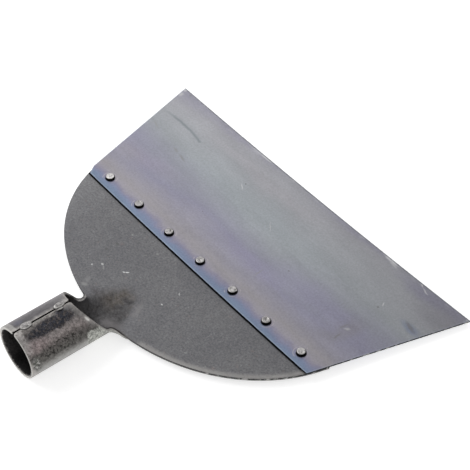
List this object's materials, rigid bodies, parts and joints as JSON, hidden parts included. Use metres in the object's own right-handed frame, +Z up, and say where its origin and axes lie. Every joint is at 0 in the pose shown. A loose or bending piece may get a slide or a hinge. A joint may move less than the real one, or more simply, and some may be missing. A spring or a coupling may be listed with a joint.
{
  "type": "manure scraper head",
  "caption": "Manure scraper head: a wide thin trapezoid blade riveted to a half-round plate whose tail is rolled into a round handle socket.",
  "frame": {"origin": "on the floor that the head lies on, under the middle of its length and width", "axes": "+Y from the socket towards the blade's working edge, along the socket's axis, +Z up, +X across the blade"},
  "size_m": [0.3, 0.2444, 0.038],
  "materials": {
    "plate_steel": "matte dark mill scale with heat tint at the neck",
    "blued_steel": "satin spring steel with blue and violet temper tint",
    "rivet_steel": "hammered bright",
    "weld_steel": "rough weld metal"
  },
  "bodies": {
    "root": {"socket_plate": "plate_steel", "spring_blade": "blued_steel", "rivet_1": "rivet_steel", "rivet_2": "rivet_steel", "rivet_3": "rivet_steel", "rivet_4": "rivet_steel", "rivet_5": "rivet_steel", "rivet_6": "rivet_steel", "rivet_7": "rivet_steel", "seam_tack_mouth": "weld_steel", "seam_tack_neck": "weld_steel"}
  },
  "joints": []
}
